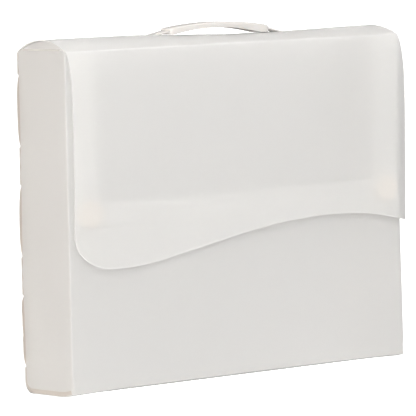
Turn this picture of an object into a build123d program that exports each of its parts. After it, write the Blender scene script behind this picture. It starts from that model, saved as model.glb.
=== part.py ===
from build123d import *
from math import asin, atan2, cos, degrees, hypot, radians, sin, sqrt, tan
import os

# A document portfolio: one creased plastic sheet folded into an upright case, with a
# hinged lid, a front flap closed by hook and loop coins, and a moulded strap handle.
# Millimetres. X runs along the front, Y from front to back, Z up.
# The origin is on the floor, under the middle of the body.

# The sheet and the body
SHEET = 0.8
CREASE_SHEET = 0.4  # what is left of the sheet along a pressed crease
BODY_WIDTH = 335.0
BODY_DEPTH = 55.0
FOLD_HEIGHT = 252.0  # the lid's two folds, above the floor
FRONT_CREASE_HEIGHT = 2.4  # the front bottom crease, above the floor
FRONT_CREASE_RADIUS = 1.5
FRONT_SLOPE = 17.6  # degrees, how steeply the bottom leaves the front crease
BACK_BEND_RADIUS = 10.0
CORNER_RADIUS = 2.5  # the two upright front corners

# The front panel and its cut-out
PANEL_TOP_GAP = 3.0  # below the folds
STRIP_WIDTH = 29.0
SILL_HEIGHT = 140.4
CUTOUT_CORNER = 9.0

# The side gussets, with their lugs, flanges and tuck flaps
GUSSET_BOTTOM = 3.3
GUSSET_TOP_CUT = 0.4  # how far the top corners slope down
DUST_HALF_WIDTH = 20.0  # from the gusset's middle to each end of its level top
LUG_LENGTH = 50.0
LUG_RISE = 2.5  # out of the back face
LUG_PITCH = 81.0
LUG_MIDDLE = 127.0
LUG_COUNT = 3
LUG_RELIEF = 1.5
LUG_CLEARANCE = 0.3
FLANGE_WIDTH = 18.0
FLANGE_BOTTOM = 14.0
FLANGE_TOP_GAP = 6.0
TUCK_LENGTH = 30.0
TUCK_ROOT_INSET = 4.5
TUCK_TIP_INSET = 15.0
TUCK_SEAT = 0.05

# The lid
LID_RISE = 7.3  # of the crest above the folds
LID_CREST_SHIFT = 1.0  # of the crest behind the middle of the body
LID_INSET = 1.0  # at each side, from the body's width
LID_CREASE_RADIUS = 2.0

# The dust flaps, which rise from the gussets and lie along the lid's underside
DUST_FOLD_RISE = 1.6  # of these flaps' folds above the lid's
DUST_CREASE_RADIUS = 1.2
DUST_ROOT_INSET = 1.0  # of the flap and its crease, from each end of the level top
DUST_RAMP = 6.0
DUST_WIDE_HALF = 24.5  # half its width where it meets the lid's underside
DUST_LENGTH = 40.0
DUST_TIP_BACK = 2.0  # where the tip's back corner lies, so the lid can lift it
DUST_TIP_FRONT = -16.0
DUST_CORNER = 8.0
DUST_CLEARANCE = 0.3

# The front flap: how it bows out, and its S-shaped lower edge
FLAP_CREASE_RADIUS = 2.0
FLAP_CREASE_INSET = 0.2  # where the lid ends and the crease begins, behind the front
FLAP_BEND_RADIUS = 23.0  # of the first arc below the crease
FLAP_BEND_LAST_RADIUS = 215.7  # of the last arc, with those between in steady steps
FLAP_BEND_TURNS = (10.0, 9.0, 6.0, 4.0, 3.0)
FLAP_RETURN_RADIUS = 3000.0
FLAP_LOBE_DROP = 161.4  # below the fold
FLAP_LOBE_CORNER = 37.0
FLAP_LOBE_RADIUS = 190.0
FLAP_CREST_RISE = 26.8  # above the lobe
FLAP_CREST_RADIUS = 549.0
FLAP_CREST_X = 85.0
FLAP_END_FALL = 9.1  # below the crest

# The hook and loop coins
COIN_DIAMETER = 20.0
COIN_SIDE_INSET = 19.0  # of the coin's centre, from the side of the body
COIN_HEIGHT = 133.0
LOOP_THICKNESS = 2.0
COIN_GAP = 0.3

# The handle: a grip, two necks that run down through slots, and two end plates
GRIP_LENGTH = 101.0
GRIP_WIDTH = 15.0
GRIP_TOP_RISE = 8.0  # above the lid's crest
GRIP_TOP_RADIUS = 330.0
GRIP_LOW_RISE = 4.6
GRIP_LOW_RADIUS = 205.0
GRIP_END_CORNER = 4.0
GRIP_TOP_ROUND = 1.2
GRIP_CLEARANCE = 0.4
GRIP_CUT_DEPTH = 14.0  # of the block that cuts the grip's feet to the lid's arch
NECK_WIDTH = 10.0
NECK_THICKNESS = 1.6
NECK_LENGTH = 20.0
NECK_TOP_DROP = 0.1  # below the top of the grip's end face
PLATE_LENGTH = 12.0
PLATE_WIDTH = 18.0
PLATE_THICKNESS = 2.0
PLATE_CORNER = 3.0
PLATE_DEPTH = 2.2  # of the end plate's top below the lid's crest
SLOT_LENGTH = 19.5
SLOT_COVERED = 2.0  # of the slot's length, under the end of the grip
SLOT_CORNER = 2.0
SLOT_CLEARANCE = 0.5

# Sizes that follow from the ones above
HALF_WIDTH = BODY_WIDTH / 2
HALF_DEPTH = BODY_DEPTH / 2
CREST_Z = FOLD_HEIGHT + LID_RISE
LID_WIDTH = BODY_WIDTH - 2 * LID_INSET
GUSSET_INSIDE = HALF_WIDTH - SHEET
PANEL_TOP = FOLD_HEIGHT - PANEL_TOP_GAP
DUST_FOLD = FOLD_HEIGHT + DUST_FOLD_RISE
GUSSET_TOP = DUST_FOLD - DUST_CREASE_RADIUS
DUST_ROOT_HALF = DUST_HALF_WIDTH - DUST_ROOT_INSET
CUTTER = 60.0  # long enough to pass right through any piece that is cut


def along(angle):
    """The unit step in a heading, in degrees from the section's first axis."""
    return Vector(cos(radians(angle)), sin(radians(angle)))


def offset_start(start, heading, offset):
    """The point `offset` to the left of a start point, seen along its heading."""
    return Vector(*start) + along(heading + 90) * offset


def chain(start, heading, runs, offset):
    """Tangent lines and arcs along a folded sheet, `offset` inside its outer face.

    Each run is (length, 0) for a straight one, or (outer radius, turn in degrees)."""
    edges = []
    point = offset_start(start, heading, offset)
    for size, turn in runs:
        if turn == 0:
            edge = Line(point, point + along(heading) * size)
        else:
            radius = size - offset if turn > 0 else size + offset
            edge = JernArc(point, along(heading), radius, turn)
        edges.append(edge)
        point = edge @ 1
        heading += turn
    return edges


def end_of(start, heading, runs):
    """Where a chain on the outer face ends, and its heading there."""
    edges = chain(start, heading, runs, 0)
    return edges[-1] @ 1, heading + sum(turn for size, turn in runs)


def strip(start, heading, runs, near=0.0, far=SHEET):
    """A closed section of sheet, between two depths inside its outer face."""
    outer = chain(start, heading, runs, near)
    inner = chain(start, heading, runs, far)
    caps = [Line(outer[0] @ 0, inner[0] @ 0), Line(outer[-1] @ 1, inner[-1] @ 1)]
    return make_face(outer + inner + caps)


def across(section, width):
    """A section of the Y-Z plane, extruded evenly to both sides of the middle."""
    return extrude(Plane.YZ * section, width / 2, both=True)


def crease(start, heading, run):
    """The thin web of a pressed crease, in the middle of the sheet's thickness."""
    depth = (SHEET - CREASE_SHEET) / 2
    return strip(start, heading, [run], depth, SHEET - depth)


def mirrored(solid):
    """The same piece on the right-hand side."""
    return solid.mirror(Plane.YZ)


def arc_radius(half_chord, rise):
    """The radius of an arc that is level at its crest."""
    return (half_chord**2 + rise**2) / (2 * rise)


# The body's section, run by run: down the front, along the bottom and up the back
FRONT_TURN = 90 - FRONT_SLOPE
FRONT_SETBACK = FRONT_CREASE_RADIUS * tan(radians(FRONT_TURN / 2))
FRONT_TOP = (-HALF_DEPTH, PANEL_TOP)
FRONT_RUNS = [
    (PANEL_TOP - FRONT_CREASE_HEIGHT - FRONT_SETBACK, 0),
    (FRONT_CREASE_RADIUS, FRONT_TURN),
]
BOTTOM_START, BOTTOM_HEADING = end_of(FRONT_TOP, -90, FRONT_RUNS)
SLOPE_RADIUS = BOTTOM_START.Y / (1 - cos(radians(FRONT_SLOPE)))
SLOPE_RUN = (SLOPE_RADIUS, FRONT_SLOPE)
FLAT_START, _ = end_of(BOTTOM_START, BOTTOM_HEADING, [SLOPE_RUN])
FLAT_LENGTH = HALF_DEPTH - BACK_BEND_RADIUS - FLAT_START.X
BOTTOM_RUNS = [SLOPE_RUN, (FLAT_LENGTH, 0), (BACK_BEND_RADIUS, 90)]
BACK_START = (HALF_DEPTH, BACK_BEND_RADIUS)

# The lid's two arcs meet level at the crest. Its back crease is tangent to the back
# panel and to the back arc, so the back panel ends where that crease begins.
BACK_ARC_RADIUS = arc_radius(HALF_DEPTH - LID_CREST_SHIFT, LID_RISE)
FRONT_ARC_RADIUS = arc_radius(HALF_DEPTH + LID_CREST_SHIFT, LID_RISE)
CREASE_OFFSET = HALF_DEPTH - LID_CREASE_RADIUS - LID_CREST_SHIFT
BACK_ARC_TURN = degrees(asin(CREASE_OFFSET / (BACK_ARC_RADIUS - LID_CREASE_RADIUS)))
CREASE_RISE = sqrt((BACK_ARC_RADIUS - LID_CREASE_RADIUS) ** 2 - CREASE_OFFSET**2)
BACK_TOP = CREST_Z - BACK_ARC_RADIUS + CREASE_RISE
LID_CREASE_RUN = (LID_CREASE_RADIUS, 90 - BACK_ARC_TURN)
LID_START, LID_HEADING = end_of((HALF_DEPTH, BACK_TOP), 90, [LID_CREASE_RUN])

# The front arc ends at the flap's crease, which turns the sheet on to the flap.
FRONT_ARC_TURN = degrees(asin((HALF_DEPTH + LID_CREST_SHIFT - FLAP_CREASE_INSET) / FRONT_ARC_RADIUS))
LID_RUNS = [(BACK_ARC_RADIUS, BACK_ARC_TURN), (FRONT_ARC_RADIUS, FRONT_ARC_TURN)]
FLAP_CREASE_START, FLAP_CREASE_HEADING = end_of(LID_START, LID_HEADING, LID_RUNS)
FLAP_CREASE_TURN = 90 - FRONT_ARC_TURN - sum(FLAP_BEND_TURNS)
FLAP_CREASE_RUN = (FLAP_CREASE_RADIUS, FLAP_CREASE_TURN)
FLAP_START, FLAP_HEADING = end_of(
    FLAP_CREASE_START, FLAP_CREASE_HEADING, [FLAP_CREASE_RUN]
)
FLAP_RETURN_TURN = degrees(FLAP_LOBE_DROP / FLAP_RETURN_RADIUS)
FLAP_BEND_GROWTH = (FLAP_BEND_LAST_RADIUS / FLAP_BEND_RADIUS) ** (1 / (len(FLAP_BEND_TURNS) - 1))
FLAP_BEND_RUNS = [
    (FLAP_BEND_RADIUS * FLAP_BEND_GROWTH**index, turn)
    for index, turn in enumerate(FLAP_BEND_TURNS)
]
FLAP_RUNS = FLAP_BEND_RUNS + [(FLAP_RETURN_RADIUS, FLAP_RETURN_TURN)]


def corner_bend():
    """The rounded front corner on the left, which joins the front to the gusset."""
    start = (CORNER_RADIUS - HALF_WIDTH, -HALF_DEPTH)
    section = strip(start, 180, [(CORNER_RADIUS, -90)], -SHEET, 0)
    low = FRONT_CREASE_HEIGHT + FRONT_SETBACK
    return Pos(0, 0, low) * extrude(section, PANEL_TOP - low)


def cutout():
    """The U-shaped opening of the front panel, open at the top."""
    width = BODY_WIDTH - 2 * STRIP_WIDTH
    height = PANEL_TOP - SILL_HEIGHT
    outline = Rectangle(width, 2 * height)
    outline = fillet(outline.vertices(), CUTOUT_CORNER)
    plane = Plane((0, 0, PANEL_TOP), x_dir=(1, 0, 0), z_dir=(0, -1, 0))
    return extrude(plane * outline, CUTTER)


def front_panel():
    flat = across(strip(FRONT_TOP, -90, FRONT_RUNS), BODY_WIDTH - 2 * CORNER_RADIUS)
    corner = corner_bend()
    return flat + corner + mirrored(corner) - cutout()


def bottom_panel():
    return across(strip(BOTTOM_START, BOTTOM_HEADING, BOTTOM_RUNS), BODY_WIDTH)


def lug_heights():
    first = LUG_MIDDLE - LUG_PITCH * (LUG_COUNT - 1) / 2
    return [first + LUG_PITCH * index for index in range(LUG_COUNT)]


def back_panel():
    height = BACK_TOP - BACK_BEND_RADIUS
    panel = across(strip(BACK_START, 90, [(height, 0)]), BODY_WIDTH)
    depth = SHEET + LUG_CLEARANCE
    for z in lug_heights():
        notch = Box(2 * depth, 4 * SHEET, LUG_LENGTH + 2 * LUG_RELIEF)
        for side in (-1, 1):
            panel -= Pos(side * HALF_WIDTH, HALF_DEPTH, z) * notch
    return panel


def bow(edge, height, rise):
    """A lug's outline: a low arc standing on an upright edge, for one side or other."""
    half = LUG_LENGTH / 2
    arc = ThreePointArc((edge, height - half), (edge + rise, height), (edge, height + half))
    return make_face([arc, Line(arc @ 1, arc @ 0)])


def left_gusset():
    """The side wall, inside the bottom's curve, with its lugs through the back."""
    front = -HALF_DEPTH + CORNER_RADIUS
    back = HALF_DEPTH - SHEET
    shoulder = GUSSET_TOP - GUSSET_TOP_CUT
    bend = CenterArc(
        (HALF_DEPTH - BACK_BEND_RADIUS, BACK_BEND_RADIUS),
        BACK_BEND_RADIUS - SHEET,
        0,
        degrees(asin((GUSSET_BOTTOM - BACK_BEND_RADIUS) / (BACK_BEND_RADIUS - SHEET))),
    )
    outline = Polyline(
        bend @ 1,
        (front, GUSSET_BOTTOM),
        (front, shoulder),
        (-DUST_HALF_WIDTH, GUSSET_TOP),
        (DUST_HALF_WIDTH, GUSSET_TOP),
        (back, shoulder),
        bend @ 0,
    )
    wall = make_face([bend, outline])
    for z in lug_heights():
        wall += bow(back, z, SHEET + LUG_RISE)
        for end in (-1, 1):
            middle = z + end * (LUG_LENGTH + LUG_RELIEF) / 2
            wall -= Pos(back, middle) * Rectangle(2 * LUG_RELIEF, LUG_RELIEF)
    return Pos(-HALF_WIDTH, 0, 0) * extrude(Plane.YZ * wall, SHEET)


def left_back_flange():
    """The gusset's back flange, welded inside the back, less what its lugs took."""
    top = FOLD_HEIGHT - FLANGE_TOP_GAP
    height = top - FLANGE_BOTTOM
    centre = (FLANGE_WIDTH / 2 - GUSSET_INSIDE, FLANGE_BOTTOM + height / 2)
    outline = Pos(*centre) * Rectangle(FLANGE_WIDTH, height)
    for z in lug_heights():
        outline -= bow(-GUSSET_INSIDE, z, SHEET + LUG_RISE)
    plane = Plane((0, HALF_DEPTH - SHEET, 0), x_dir=(1, 0, 0), z_dir=(0, -1, 0))
    return extrude(plane * outline, SHEET)


def left_tuck_flap():
    """The gusset's bottom flap, which slopes down on to the bottom panel."""
    inner = TUCK_LENGTH - GUSSET_INSIDE
    tip = SHEET + TUCK_SEAT
    side = Polyline(
        (-GUSSET_INSIDE, GUSSET_BOTTOM),
        (-GUSSET_INSIDE, GUSSET_BOTTOM + SHEET),
        (inner, tip + SHEET),
        (inner, tip),
        close=True,
    )
    root = HALF_DEPTH - TUCK_ROOT_INSET
    end = HALF_DEPTH - TUCK_TIP_INSET
    plan = Polyline(
        (-GUSSET_INSIDE, -root), (-GUSSET_INSIDE, root), (inner, end), (inner, -end), close=True
    )
    slab = extrude(Plane.XZ * make_face(side), HALF_DEPTH, both=True)
    return slab & extrude(make_face(plan), CUTTER)


def lid_point_turns(back, front):
    """The turns of the lid's two arcs between two depths, from the crest each way."""
    back_turn = degrees(asin((back - LID_CREST_SHIFT) / BACK_ARC_RADIUS))
    front_turn = degrees(asin((LID_CREST_SHIFT - front) / FRONT_ARC_RADIUS))
    return back_turn, front_turn


def dust_section():
    """The dust flap's arched section, a clearance inside the lid."""
    back_turn, front_turn = lid_point_turns(DUST_WIDE_HALF, -DUST_WIDE_HALF)
    crest = Vector(LID_CREST_SHIFT, CREST_Z)
    start = crest + (along(90 - back_turn) - along(90)) * BACK_ARC_RADIUS
    runs = [(BACK_ARC_RADIUS, back_turn), (FRONT_ARC_RADIUS, front_turn)]
    near = SHEET + DUST_CLEARANCE
    return strip(start, 180 - back_turn, runs, near, near + SHEET)


def dust_root():
    """The dust flap's flat section beside its crease, split under the lid's crest."""
    ends = [DUST_HALF_WIDTH, LID_CREST_SHIFT, -DUST_HALF_WIDTH]
    upper = [(y, DUST_FOLD) for y in ends]
    lower = [(y, DUST_FOLD - SHEET) for y in reversed(ends)]
    return make_face(Polyline(*upper, *lower, close=True))


def left_dust_flap():
    """A flap that starts flat at its crease, rises, and then follows the lid's arch."""
    root_x = DUST_CREASE_RADIUS - HALF_WIDTH
    ramp_x = root_x + DUST_RAMP
    tip_x = root_x + DUST_LENGTH
    arch = Plane.YZ * dust_section()
    ramp = loft([Pos(root_x, 0, 0) * (Plane.YZ * dust_root()), Pos(ramp_x, 0, 0) * arch], ruled=True)
    flat = Pos(ramp_x, 0, 0) * extrude(arch, tip_x - ramp_x)
    plan = make_face(
        Polyline(
            (root_x, -DUST_ROOT_HALF),
            (root_x, DUST_ROOT_HALF),
            (ramp_x, DUST_WIDE_HALF),
            (tip_x, DUST_TIP_BACK),
            (tip_x, DUST_TIP_FRONT),
            (ramp_x, -DUST_WIDE_HALF),
            close=True,
        )
    )
    tip_corners = plan.vertices().sort_by(Axis.X)[-2:]
    plan = fillet(tip_corners, DUST_CORNER)
    return (ramp + flat) & Pos(0, 0, FOLD_HEIGHT - SHEET) * extrude(plan, 2 * LID_RISE)


def left_dust_crease():
    start = (-HALF_WIDTH, GUSSET_TOP)
    depth = (SHEET - CREASE_SHEET) / 2
    section = strip(start, 90, [(DUST_CREASE_RADIUS, -90)], depth - SHEET, -depth)
    return extrude(Plane.XZ * section, DUST_ROOT_HALF, both=True)


def lid_slot(side):
    """A slot for one of the handle's necks, with rounded corners."""
    width = NECK_WIDTH + 2 * SLOT_CLEARANCE
    middle = side * ((GRIP_LENGTH + SLOT_LENGTH) / 2 - SLOT_COVERED)
    outline = RectangleRounded(SLOT_LENGTH, width, SLOT_CORNER)
    return Pos(middle, 0, FOLD_HEIGHT) * extrude(outline, 2 * LID_RISE)


def lid_top():
    panel = across(strip(LID_START, LID_HEADING, LID_RUNS), LID_WIDTH)
    return panel - lid_slot(-1) - lid_slot(1)


def lid_crease():
    return across(crease((HALF_DEPTH, BACK_TOP), 90, LID_CREASE_RUN), LID_WIDTH)


def flap_crease():
    return across(crease(FLAP_CREASE_START, FLAP_CREASE_HEADING, FLAP_CREASE_RUN), LID_WIDTH)


def flap_outline():
    """The flap seen from the front: a low lobe on the left, then an S to the right."""
    half = LID_WIDTH / 2
    low = FOLD_HEIGHT - FLAP_LOBE_DROP
    crest = low + FLAP_CREST_RISE
    end = crest - FLAP_END_FALL
    lobe_x = FLAP_LOBE_CORNER - half
    lobe_centre = Vector(lobe_x, low + FLAP_LOBE_RADIUS)
    crest_centre = Vector(FLAP_CREST_X, crest - FLAP_CREST_RADIUS)
    gap = crest_centre - lobe_centre
    # the straight middle of the S is the inner tangent of the two arcs
    lean = asin((FLAP_LOBE_RADIUS + FLAP_CREST_RADIUS) / hypot(gap.X, gap.Y))
    slope = degrees(atan2(gap.Y, gap.X) + lean)
    corner = JernArc((-half, low + FLAP_LOBE_CORNER), (0, -1), FLAP_LOBE_CORNER, 90)
    lobe = JernArc(corner @ 1, (1, 0), FLAP_LOBE_RADIUS, slope)
    rise_end = crest_centre + along(90 + slope) * FLAP_CREST_RADIUS
    crest_arc = JernArc(rise_end, along(slope), FLAP_CREST_RADIUS, -slope)
    end_radius = arc_radius(half - FLAP_CREST_X, crest - end)
    end_turn = degrees(asin((half - FLAP_CREST_X) / end_radius))
    end_arc = JernArc((FLAP_CREST_X, crest), (1, 0), end_radius, -end_turn)
    sides = Polyline(end_arc @ 1, (half, CREST_Z), (-half, CREST_Z), corner @ 0)
    middle = Line(lobe @ 1, rise_end)
    return make_face([corner, lobe, middle, crest_arc, end_arc, sides])


def front_flap():
    sheet = across(strip(FLAP_START, FLAP_HEADING, FLAP_RUNS), LID_WIDTH)
    plane = Plane((0, 0, 0), x_dir=(1, 0, 0), z_dir=(0, -1, 0))
    return sheet & extrude(plane * flap_outline(), CUTTER)


def coin(front, back):
    """A round coin on the left, between two depths."""
    centre = (COIN_SIDE_INSET - HALF_WIDTH, back, COIN_HEIGHT)
    plane = Plane(centre, x_dir=(1, 0, 0), z_dir=(0, -1, 0))
    return extrude(plane * Circle(COIN_DIAMETER / 2), back - front)


LOOP_FACE = -HALF_DEPTH - LOOP_THICKNESS


def left_loop_coin():
    return coin(LOOP_FACE, -HALF_DEPTH)


def left_hook_coin():
    """The hook coin fills the space from the loop coin to the flap's inner face."""
    back = LOOP_FACE - COIN_GAP
    outside = strip(FLAP_START, FLAP_HEADING, FLAP_RUNS, -CUTTER, SHEET)
    return coin(back - CUTTER / 2, back) - across(outside, BODY_WIDTH)


def grip_arc(rise, radius, half):
    """An arc along the handle, level in the middle, at a rise over the lid's crest."""
    drop = radius - sqrt(radius**2 - half**2)
    top = CREST_Z + rise
    return ThreePointArc((-half, top - drop), (0, top), (half, top - drop))


def grip_side():
    """The grip seen from the front, between its upper and lower arcs."""
    upper = grip_arc(GRIP_TOP_RISE, GRIP_TOP_RADIUS, GRIP_LENGTH / 2)
    lower = grip_arc(GRIP_LOW_RISE, GRIP_LOW_RADIUS, GRIP_LENGTH / 2)
    ends = [Line(upper @ 0, lower @ 0), Line(upper @ 1, lower @ 1)]
    return make_face([upper, lower] + ends)


def handle_grip():
    """A bowed strap with a rounded top, its feet cut to the lid's arch."""
    bar = extrude(Plane.XZ * grip_side(), GRIP_WIDTH / 2, both=True)
    bar = fillet(bar.edges().filter_by(Axis.Z), GRIP_END_CORNER)
    top = bar.faces().sort_by(Axis.Z)[-1]
    bar = fillet(top.edges(), GRIP_TOP_ROUND)
    under_lid = strip(LID_START, LID_HEADING, LID_RUNS, -GRIP_CLEARANCE, GRIP_CUT_DEPTH)
    return bar - across(under_lid, BODY_WIDTH)


NECK_START = GRIP_LENGTH / 2
GRIP_END_DROP = GRIP_TOP_RADIUS - sqrt(GRIP_TOP_RADIUS**2 - NECK_START**2)
NECK_TOP = CREST_Z + GRIP_TOP_RISE - GRIP_END_DROP - GRIP_TOP_ROUND - NECK_TOP_DROP
PLATE_TOP = CREST_Z - PLATE_DEPTH
NECK_END = NECK_START + NECK_LENGTH


def right_neck():
    """The thin strap from the grip's end down through the lid to its end plate."""
    side = Polyline(
        (NECK_START, NECK_TOP),
        (NECK_END, PLATE_TOP),
        (NECK_END, PLATE_TOP - NECK_THICKNESS),
        (NECK_START, NECK_TOP - NECK_THICKNESS),
        close=True,
    )
    return extrude(Plane.XZ * make_face(side), NECK_WIDTH / 2, both=True)


def right_end_plate():
    """The wide plate under the lid, which stops the handle from pulling out."""
    middle = NECK_END + PLATE_LENGTH / 2
    outline = RectangleRounded(PLATE_LENGTH, PLATE_WIDTH, PLATE_CORNER)
    return Pos(middle, 0, PLATE_TOP - PLATE_THICKNESS) * extrude(outline, PLATE_THICKNESS)


def all_parts():
    gusset = left_gusset()
    flange = left_back_flange()
    tuck = left_tuck_flap()
    dust = left_dust_flap()
    dust_web = left_dust_crease()
    loop = left_loop_coin()
    hook = left_hook_coin()
    neck = right_neck()
    plate = right_end_plate()
    return {
        "front_panel": front_panel(),
        "bottom_panel": bottom_panel(),
        "back_panel": back_panel(),
        "left_gusset": gusset,
        "right_gusset": mirrored(gusset),
        "left_back_flange": flange,
        "right_back_flange": mirrored(flange),
        "left_tuck_flap": tuck,
        "right_tuck_flap": mirrored(tuck),
        "left_loop_coin": loop,
        "right_loop_coin": mirrored(loop),
        "lid_crease": lid_crease(),
        "lid_top": lid_top(),
        "flap_crease": flap_crease(),
        "front_flap": front_flap(),
        "left_hook_coin": hook,
        "right_hook_coin": mirrored(hook),
        "left_dust_flap": dust,
        "right_dust_flap": mirrored(dust),
        "left_dust_crease": dust_web,
        "right_dust_crease": mirrored(dust_web),
        "handle_grip": handle_grip(),
        "left_handle_neck": mirrored(neck),
        "right_handle_neck": neck,
        "left_handle_plate": mirrored(plate),
        "right_handle_plate": plate,
    }


os.makedirs("parts", exist_ok=True)
for name, part in all_parts().items():
    export_step(part, f"parts/{name}.step")
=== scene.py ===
import random
from math import asin, atan2, cos, degrees, hypot, pi, radians, sin, sqrt, tan

import bpy
from mathutils import Matrix, Vector
from mathutils.geometry import delaunay_2d_cdt


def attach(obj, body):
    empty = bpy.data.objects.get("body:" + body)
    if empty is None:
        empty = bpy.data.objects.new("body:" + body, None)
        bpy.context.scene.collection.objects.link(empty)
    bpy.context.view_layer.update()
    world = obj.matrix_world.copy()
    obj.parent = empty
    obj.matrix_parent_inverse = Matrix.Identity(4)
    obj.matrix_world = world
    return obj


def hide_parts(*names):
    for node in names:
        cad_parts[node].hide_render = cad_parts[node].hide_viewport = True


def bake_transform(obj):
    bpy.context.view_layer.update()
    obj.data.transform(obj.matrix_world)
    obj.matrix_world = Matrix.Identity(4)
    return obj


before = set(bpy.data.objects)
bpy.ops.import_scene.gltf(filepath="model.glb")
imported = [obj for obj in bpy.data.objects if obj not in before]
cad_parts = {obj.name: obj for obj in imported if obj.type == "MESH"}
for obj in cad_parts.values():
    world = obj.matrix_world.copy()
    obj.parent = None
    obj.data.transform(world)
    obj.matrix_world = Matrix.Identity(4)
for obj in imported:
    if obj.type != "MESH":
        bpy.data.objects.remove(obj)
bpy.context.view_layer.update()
scene = bpy.context.scene
MM = 0.001
SIDES = ((-1, "left"), (1, "right"))

# The room and the lights: places in metres, and directions that the light comes from
WORLD = 0.44
WORLD_BELOW = 0.2
HORIZON = 0.05  # half the band in which the light from above turns into that from below
BACKDROP = 1.1
FLOOR = 0.8
FLOOR_GLOW = 0.85
FLOOR_HALF = 40.0
KEY = 2.75
KEY_FROM = (-0.4, -0.75, 0.45)
KEY_SPREAD = 100
FILL = 1.5
FILL_FROM = (-1, -0.1, 0.25)
FILL_SPREAD = 90
FILL_COLOUR = (1, 0.86, 0.73)
SOFTBOX = 4.6
SOFTBOX_PLACE = (-0.45, -0.9, 1.0)
SOFTBOX_SIZE = 0.7
BOUNCE = 0.010
BOUNCE_PLACE = (0, -0.0215, -0.003)
BOUNCE_DEPTH = 0.012
BELOW_COLOUR = (1, 0.97, 0.945)  # of the light that the table throws back

# The camera, solved from the photograph's body corners: metres, degrees, millimetres of lens
CAMERA_PLACE = (-2.0653, -2.3386, 0.3651)
CAMERA_HEADING = 41.33
CAMERA_PITCH = 4.37
CAMERA_ROLL = 1.32
CAMERA_LENS = 358.3
CAMERA_SENSOR = 36

# The materials. Grains are in millimetres, and TRANS is the share of light that passes in.
SHEET_COLOUR = (0.97, 0.9685, 0.962)
SHEET_TRANS = 0.78
SHEET_ROUGH = 0.65
SHEET_IOR = 1.2
SHEET_BUMP = 0.25
SHEET_GRAIN = 0.5
SHEET_TINT = 0.012
# Painted highlight: the cut edges, and a thin band of the faces along the flap's and the lid's edges,
# reflect more than the sheet so that they show as a bright line
EDGE_HIGHLIGHT_COLOUR = (0.98, 0.98, 0.97)
EDGE_HIGHLIGHT_TRANS = 0.55
EDGE_GRAIN = 0.3
# Painted shade: a darker, warmer sheet on the lugs and along the gussets' foot, where they turn away
# from the light
PAINTED_SHADE_COLOUR = (0.82, 0.78, 0.735)
PAINTED_SHADE_TRANS = 0.6
# Painted shade: a darker sheet on the dust flaps' creases, for the shadow in the gap under the lid
CREASE_SHADE_COLOUR = (0.70, 0.68, 0.65)
CREASE_SHADE_TRANS = 0.5
HANDLE_COLOUR = (0.76, 0.74, 0.715)
HANDLE_TRANS = 0.3
HANDLE_ROUGH = 0.2
HANDLE_IOR = 1.35
HANDLE_GRAIN = 0.8
HANDLE_GLOW = 0.5  # share of light that spreads inside the moulding
HANDLE_GLOW_TONES = (1, 0.95, 0.9)
HANDLE_GLOW_DEPTH = 4.0
FINE_BUMP = 0.2
BUMP_DEPTH = 0.05
PLASTIC_ROUGH = 0.6
PLASTIC_TINT = 0.02
ROUGH_SPREAD = 0.05
CLOUD_SCALE = 14  # of the patches in tone and roughness
HOOK_COLOUR = (0.735, 0.70, 0.66)
HOOK_GRAIN = 0.7
LOOP_COLOUR = (0.93, 0.90, 0.86)
LOOP_GRAIN = 0.5
PILE_SHADE = 0.86  # painted shade between the tufts, as a share of the pile's colour
PILE_DEPTH = 0.2

# How far the lid's crest has settled, in millimetres: (x, sag) from its left end to its right
LID_SAG = [(-167, -1.0), (-75, -0.9), (-25, 0.8), (20, 2.0), (70, 1.8), (167, 0.7)]

# How the sheet has sprung and curled, in millimetres
CURL_START = 1.2  # before the gusset's back edge
CURL_RADIUS = 9.0
CURL_TURN = 60
FOOT_ARCH = 1.1  # how far the front's foot arches up off the table between its corners
FOOT_ARCH_DEPTH = 4.0  # over which the arch fades out along the bottom
FOOT_ARCH_HEIGHT = 60.0  # over which it fades out up the front
BACK_BOW = 1.2  # how far the back stands out, half-way up BACK_BOW_HEIGHT
BACK_BOW_HEIGHT = 190.0
RIGHT_PINCH = 1.4  # how far the right side draws in at half its height
FLAP_DRIFT = 1.0  # how far the flap hangs to the right of its crease
FLAP_DRIFT_LENGTH = 50.0
BOTTOM_SEAT = 0.15  # of the gussets above the bottom
STRIP_RISE = 1.6  # of the front strips' tops, which reach up to the flap's crease
CORNER_TOP = 252.0
CORNER_BOTTOM = 2.6

# The cut edge's band of painted highlight, and the gussets' foot of painted shade, in millimetres
EDGE_BAND = 0.6
FOOT_BAND = 3.0
FOOT_FRONT = -25.5  # between these depths in the case, just inside the gusset's edges
FOOT_BACK = 25.2
FOOT_STEP = 2.5
HIGHLIT_EDGE, IN_ZONE = 1, 2  # places in a sheet's list of materials

# How finely the sheet is divided: millimetres on flats, and degrees in bends
CASE_STEP = 12
CASE_EDGE_STEP = 9
LID_STEP = 6
FLAP_EDGE_STEP = 5
DUST_STEP = 3
DUST_RAMP_STEP = 0.4
DUST_LONG_STEP = 4
CREASE_STEP = 0.2
CREASE_EDGE_STEP = 0.3
NEARLY_FLAT = 500  # radius from which a bend is divided like a flat
NEAR = 0.01  # two flat coordinates this near are on the same line
NUDGE = 1e-5
WELD = 1e-4  # points this near are one
SHARP_ANGLE = 50
PRISM_ANGLE = 60  # the same, for flat solids
HALVINGS = 40  # in travel_at

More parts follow.
